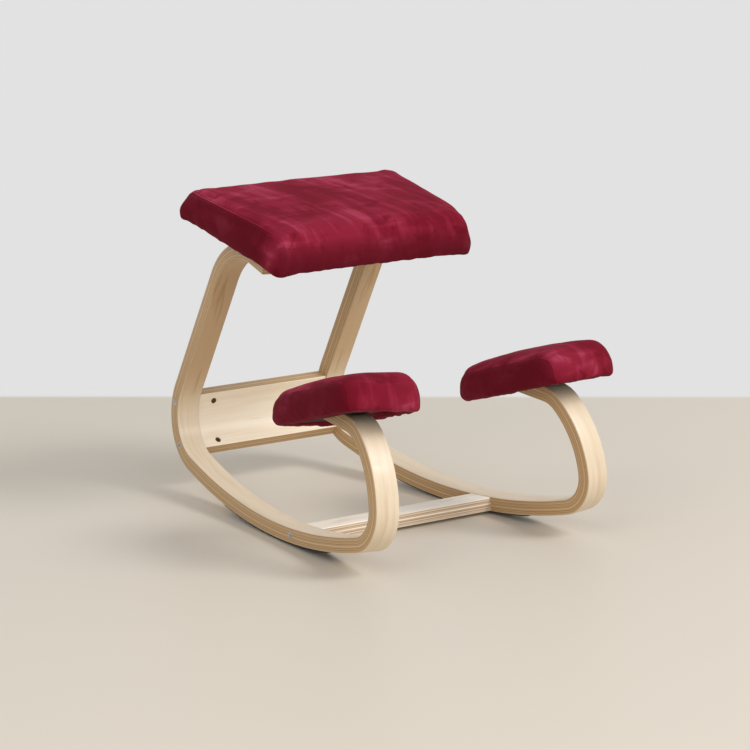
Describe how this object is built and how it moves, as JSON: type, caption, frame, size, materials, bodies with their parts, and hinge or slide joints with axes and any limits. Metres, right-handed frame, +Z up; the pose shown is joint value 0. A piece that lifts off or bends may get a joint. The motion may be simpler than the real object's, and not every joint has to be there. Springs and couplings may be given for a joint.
{
  "type": "kneeling chair",
  "caption": "Rocking kneeling chair: bent laminated runners joined by crossbars, a sloping padded seat and padded knee rests.",
  "frame": {"origin": "on the floor, below the middle of the chair's width and depth", "axes": "+Z up, the sitter faces -Y, the sitter's left is +X"},
  "size_m": [0.5586, 0.7184, 0.5593],
  "materials": {
    "runner_ply": "clear satin lacquer over bent laminated birch or beech",
    "crossbar_ply": "clear satin lacquer over laminated birch or beech",
    "dowel_beech": "bare beech",
    "bolt_steel": "bright nickel plate",
    "nut_steel": "zinc plate",
    "floor_strip": "matt",
    "board_ply": "raw plywood",
    "foam": "open-cell foam",
    "cover_cloth": "maroon brushed suede cloth with a short nap",
    "dust_cloth": "black non-woven cloth"
  },
  "bodies": {
    "root": {"right_runner": "runner_ply", "left_runner": "runner_ply", "rear_crossbar": "crossbar_ply", "front_crossbar": "crossbar_ply", "crossbar_dowels": "dowel_beech", "rear_crossbar_bolts": "bolt_steel", "front_crossbar_bolts": "bolt_steel", "seat_bolts": "bolt_steel", "right_knee_bolts": "bolt_steel", "left_knee_bolts": "bolt_steel", "rear_barrel_nuts": "nut_steel", "front_barrel_nuts": "nut_steel", "seat_t_nuts": "nut_steel", "right_knee_t_nuts": "nut_steel", "left_knee_t_nuts": "nut_steel", "right_floor_strip": "floor_strip", "left_floor_strip": "floor_strip", "seat_board": "board_ply", "right_knee_board": "board_ply", "left_knee_board": "board_ply", "seat_foam": "foam", "right_knee_foam": "foam", "left_knee_foam": "foam", "seat_cover": "cover_cloth", "right_knee_cover": "cover_cloth", "left_knee_cover": "cover_cloth", "seat_dust_cover": "dust_cloth", "right_knee_dust_cover": "dust_cloth", "left_knee_dust_cover": "dust_cloth"}
  },
  "joints": []
}
